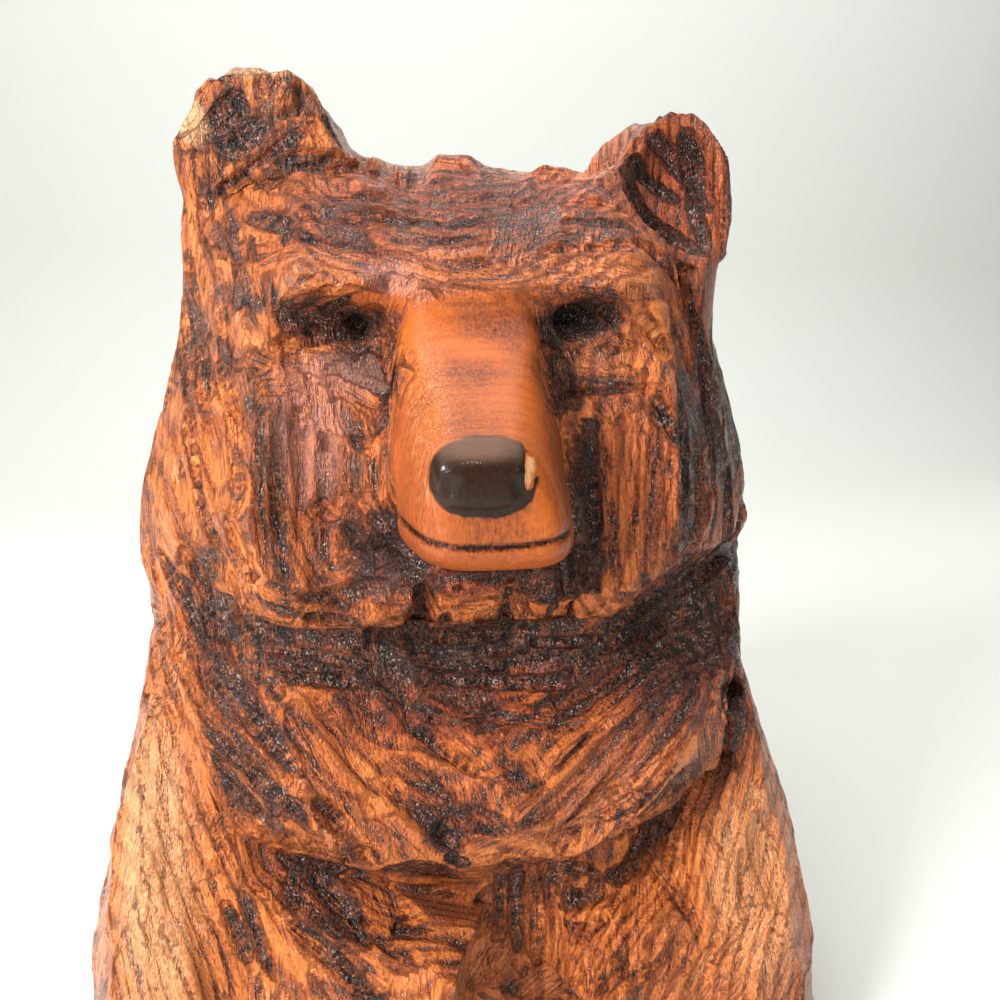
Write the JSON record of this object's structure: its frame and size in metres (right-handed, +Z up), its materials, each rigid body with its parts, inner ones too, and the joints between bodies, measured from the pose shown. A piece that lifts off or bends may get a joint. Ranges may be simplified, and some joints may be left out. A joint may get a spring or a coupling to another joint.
{
  "type": "chainsaw carved bear bust",
  "caption": "Chainsaw carved bear in varnished softwood: head, chest and arms cut from one log, sawn flat below to stand on a shelf.",
  "frame": {"origin": "centre of the bounding box on the flat saw cut that the bust stands on", "axes": "+Z up along the log, -Y out of the bear's face, +X on the right of someone looking at the face"},
  "size_m": [0.2402, 0.18, 0.3129],
  "materials": {
    "varnished_wood": "chainsawn and scorched softwood under a glossy orange varnish, nose painted black"
  },
  "bodies": {
    "root": {"carved_bear": "varnished_wood"}
  },
  "joints": []
}
